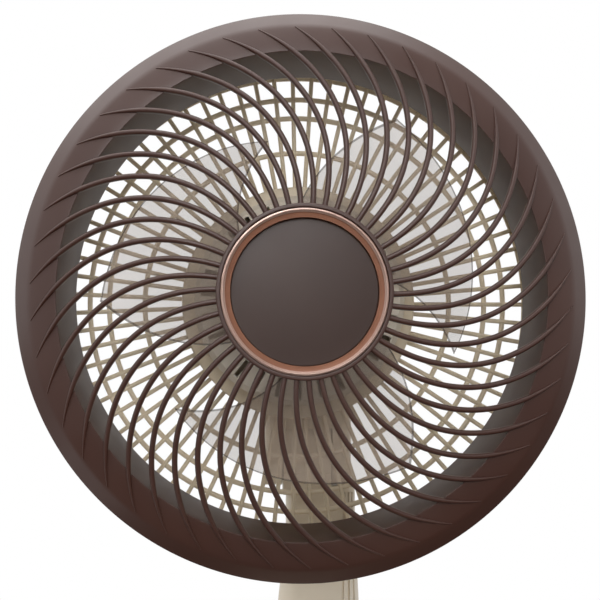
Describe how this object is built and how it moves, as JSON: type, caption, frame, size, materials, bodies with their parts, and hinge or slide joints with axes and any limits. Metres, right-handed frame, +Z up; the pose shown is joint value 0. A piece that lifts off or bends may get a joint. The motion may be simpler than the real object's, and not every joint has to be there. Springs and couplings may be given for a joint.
{
  "type": "air circulator fan",
  "caption": "Pedestal air circulator with a domed spiral front guard, clear propeller, rear lattice, tilting and panning head, round base with push buttons.",
  "frame": {"origin": "middle of the round base, on the floor, straight below the post's axis", "axes": "+Z up along the post; the fan blows towards -Y; +X to the right of someone who faces the fan"},
  "size_m": [0.32, 0.2999, 0.9],
  "materials": {
    "brown_plastic": "satin moulded plastic, dark brown",
    "copper_trim": "plated plastic, rose copper",
    "cream_plastic": "satin moulded plastic, cream",
    "clear_plastic": "clear moulded plastic",
    "dark_plastic": "dark moulded plastic",
    "cream_button": "satin",
    "screw_steel": "zinc plated",
    "bright_steel": "ground steel",
    "sheet_steel": "painted sheet steel",
    "motor_iron": "stacked iron",
    "cast_weight": "cast, painted",
    "green_board": "coated board",
    "rubber": "matt rubber"
  },
  "bodies": {
    "stand": {"base_cover": "cream_plastic", "control_panel": "brown_plastic", "circuit_board": "green_board", "push_switches": "dark_plastic", "board_screws": "screw_steel", "base_weight": "cast_weight", "base_plate": "sheet_steel", "base_screws": "screw_steel", "rubber_feet": "rubber", "power_socket": "dark_plastic", "post_tube": "cream_plastic", "post_foot": "dark_plastic", "post_collar": "cream_plastic", "post_bolt": "screw_steel", "post_cap": "cream_plastic", "pan_bearing": "dark_plastic"},
    "neck": {"neck_front": "cream_plastic", "neck_rear": "cream_plastic", "neck_screws": "screw_steel", "pan_motor": "bright_steel", "tilt_motor": "bright_steel", "tilt_pin": "bright_steel"},
    "head": {"front_guard": "brown_plastic", "trim_ring": "copper_trim", "centre_cap": "brown_plastic", "rear_guard": "cream_plastic", "motor_housing": "cream_plastic", "housing_screws": "screw_steel", "motor_bearings": "bright_steel", "motor_stator": "motor_iron", "motor_cover": "cream_plastic", "tilt_bracket": "cream_plastic", "bracket_screws": "screw_steel"},
    "fan": {"propeller": "clear_plastic", "propeller_nut": "dark_plastic", "motor_shaft": "bright_steel", "motor_rotor": "motor_iron"},
    "button_power": {"button_power": "cream_button"},
    "button_speed": {"button_speed": "cream_button"},
    "button_swing": {"button_swing": "cream_button"},
    "button_tilt": {"button_tilt": "cream_button"},
    "button_timer": {"button_timer": "cream_button"}
  },
  "joints": [
    {"name": "head_pan", "type": "hinge", "parent": "stand", "child": "neck", "pos_m": [0, 0, 0.518], "axis": [0, 0, 1], "range_deg": [-40, 40]},
    {"name": "head_tilt", "type": "hinge", "parent": "neck", "child": "head", "pos_m": [0, 0, 0.648], "axis": [-1, 0, 0], "range_deg": [-10, 90]},
    {"name": "fan_spin", "type": "hinge", "parent": "head", "child": "fan", "pos_m": [0, -0.112, 0.74], "axis": [0, 1, 0], "continuous": true},
    {"name": "power_press", "type": "slide", "parent": "stand", "child": "button_power", "axis": [0, 0, -1], "range_m": [0, 0.001], "stiffness_N_per_m": 1500, "springref_m": -0.0003},
    {"name": "speed_press", "type": "slide", "parent": "stand", "child": "button_speed", "axis": [0, 0, -1], "range_m": [0, 0.001], "stiffness_N_per_m": 1500, "springref_m": -0.0003},
    {"name": "swing_press", "type": "slide", "parent": "stand", "child": "button_swing", "axis": [0, 0, -1], "range_m": [0, 0.001], "stiffness_N_per_m": 1500, "springref_m": -0.0003},
    {"name": "tilt_press", "type": "slide", "parent": "stand", "child": "button_tilt", "axis": [0, 0, -1], "range_m": [0, 0.001], "stiffness_N_per_m": 1500, "springref_m": -0.0003},
    {"name": "timer_press", "type": "slide", "parent": "stand", "child": "button_timer", "axis": [0, 0, -1], "range_m": [0, 0.001], "stiffness_N_per_m": 1500, "springref_m": -0.0003}
  ]
}
